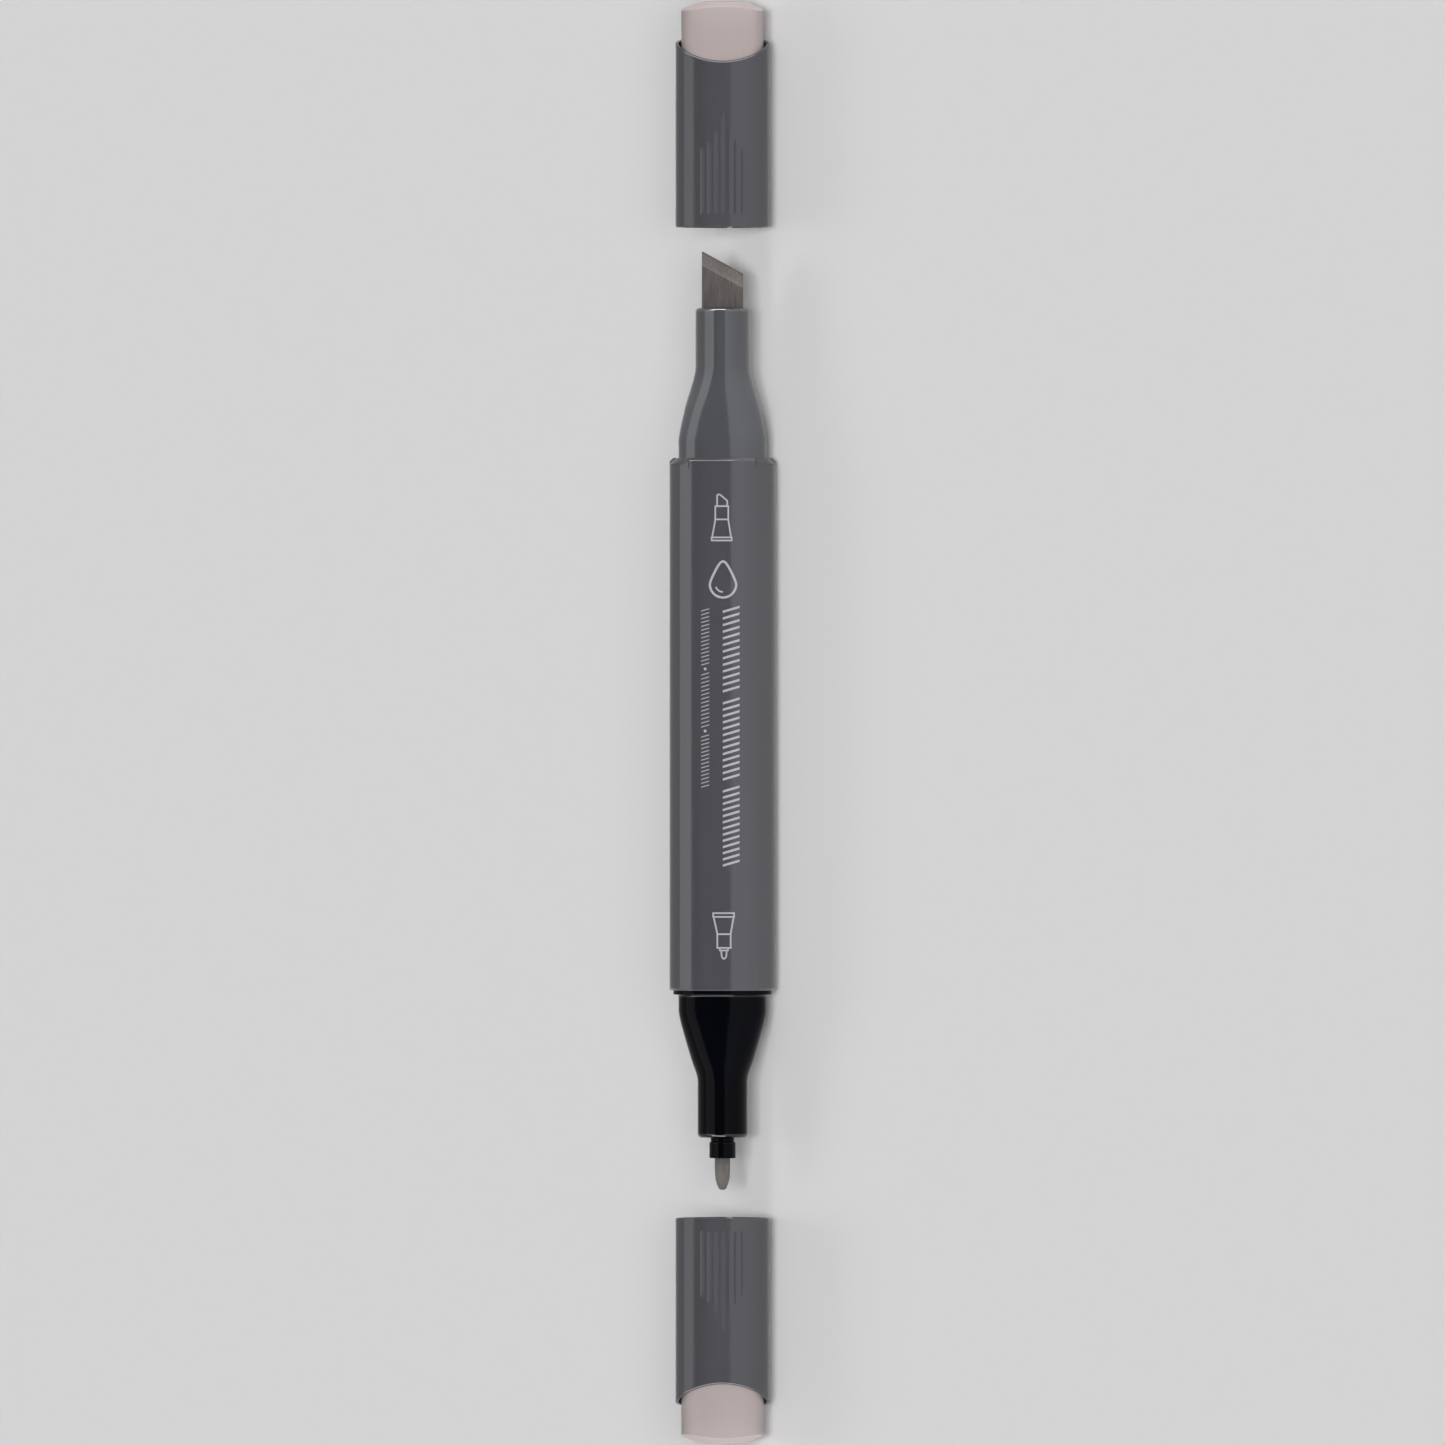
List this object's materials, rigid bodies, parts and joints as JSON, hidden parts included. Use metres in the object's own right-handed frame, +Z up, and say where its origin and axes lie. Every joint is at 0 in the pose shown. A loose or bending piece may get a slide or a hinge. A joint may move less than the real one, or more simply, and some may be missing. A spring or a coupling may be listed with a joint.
{
  "type": "felt tip marker",
  "caption": "Felt tip marker with a chisel nib at one end and a bullet nib at the other, a soft triangular barrel, and pull-off caps with coloured end plugs.",
  "frame": {"origin": "centre of the marker's length, under its axis, on the surface that the barrel's lower face rests on", "axes": "+Y along the marker towards the chisel nib, +Z up; one face of the soft triangle is down, and the printed face looks along +X and 30 degrees up"},
  "size_m": [0.016, 0.2186, 0.0158],
  "materials": {
    "barrel_grey": "satin gloss moulded, dark warm grey",
    "neck_grey": "satin gloss moulded, dark blue-grey",
    "neck_black": "gloss moulded, black",
    "core_fibre": "bonded polyester fibre, soaked with grey ink",
    "core_film": "clear film sleeve",
    "nib_fibre": "bonded polyester fibre, inked warm grey",
    "cap_grey": "satin gloss moulded, dark warm grey",
    "colour_plug": "satin moulded, warm grey with a pink cast",
    "seal_natural": "natural polyethylene"
  },
  "bodies": {
    "marker": {"barrel": "barrel_grey", "chisel_neck": "neck_grey", "bullet_neck": "neck_black", "ink_reservoir": "core_fibre", "reservoir_wrap": "core_film", "chisel_nib": "nib_fibre", "bullet_nib": "nib_fibre", "bullet_nib_collar": "neck_black"},
    "chisel_cap": {"chisel_cap_shell": "cap_grey", "chisel_cap_plug": "colour_plug", "chisel_cap_inner_seal": "seal_natural"},
    "bullet_cap": {"bullet_cap_shell": "cap_grey", "bullet_cap_plug": "colour_plug", "bullet_cap_inner_seal": "seal_natural"}
  },
  "joints": [
    {"name": "chisel_cap_slide", "type": "slide", "parent": "marker", "child": "chisel_cap", "axis": [0, -1, 0], "range_m": [0, 0.0349]},
    {"name": "bullet_cap_slide", "type": "slide", "parent": "marker", "child": "bullet_cap", "axis": [0, 1, 0], "range_m": [0, 0.03377]}
  ]
}
